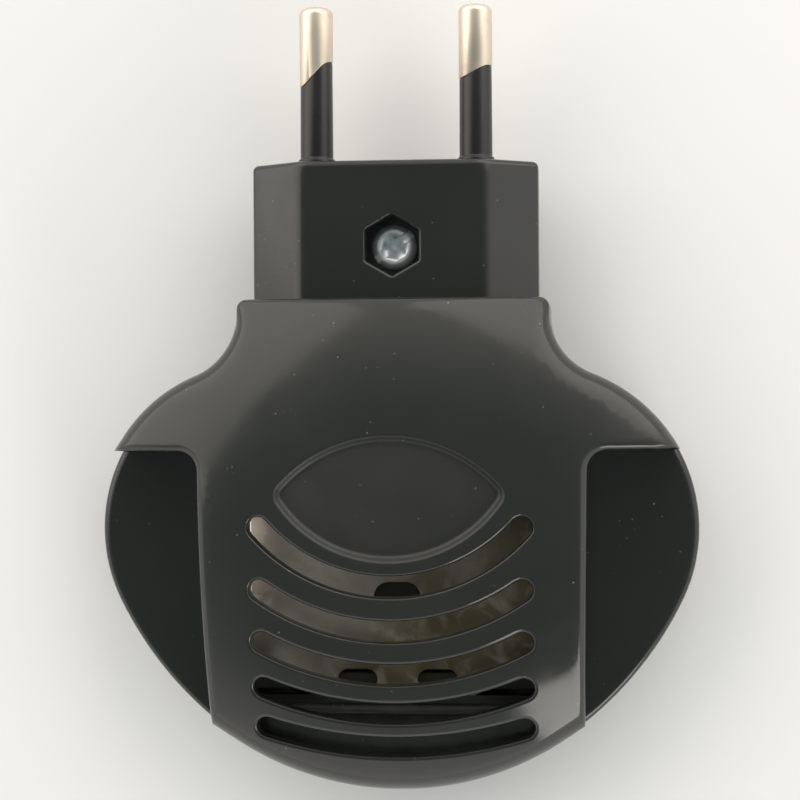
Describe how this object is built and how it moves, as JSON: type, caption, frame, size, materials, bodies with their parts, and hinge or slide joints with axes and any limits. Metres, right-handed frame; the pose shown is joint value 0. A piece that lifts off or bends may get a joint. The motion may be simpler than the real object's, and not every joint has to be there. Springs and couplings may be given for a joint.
{
  "type": "plug-in pest repeller",
  "caption": "Plug-in heater for repellent mats: a domed cover with curved slots over a small heated plate, open at both sides for the mat, with a two-pin plug block on top.",
  "frame": {"origin": "centre of the object's outer box in X and Y, at the plane of its back", "axes": "+Y along the plug pins to their tips, +Z out of the front cover, +X across to the right as seen from the front"},
  "size_m": [0.071, 0.093, 0.0236],
  "materials": {
    "cover_plastic": "gloss dark grey moulding",
    "frame_plastic": "satin dark grey moulding",
    "housing_plastic": "satin dark grey moulding",
    "label_film": "blank satin film",
    "nickel": "nickel plate on brass",
    "sleeve_plastic": "satin black",
    "zinc": "bright zinc plate",
    "pressed_aluminium": "pressed sheet with a warm tint",
    "mica": "mica sheet",
    "spring_steel": "rolled strip",
    "heating_ceramic": "fired ceramic with silvered faces",
    "holder_ceramic": "dark glazed steatite",
    "lead_insulation": "silicone insulation",
    "tinned": "tinned copper"
  },
  "bodies": {
    "root": {"front_cover": "cover_plastic", "middle_frame": "frame_plastic", "rear_housing": "housing_plastic", "rating_plate": "label_film", "pin_left": "nickel", "pin_right": "nickel", "sleeve_left": "sleeve_plastic", "sleeve_right": "sleeve_plastic", "plug_screw": "zinc", "plug_nut": "zinc", "housing_screws": "zinc", "heater_plate": "pressed_aluminium", "mica_upper": "mica", "electrode_upper": "spring_steel", "heating_stones": "heating_ceramic", "electrode_lower": "spring_steel", "mica_lower": "mica", "pressure_spring": "spring_steel", "heater_holder": "holder_ceramic", "holder_screws": "zinc", "lead_left": "lead_insulation", "lead_right": "lead_insulation", "ferrule_left": "tinned", "ferrule_right": "tinned", "tab_ferrules": "tinned"}
  },
  "joints": []
}
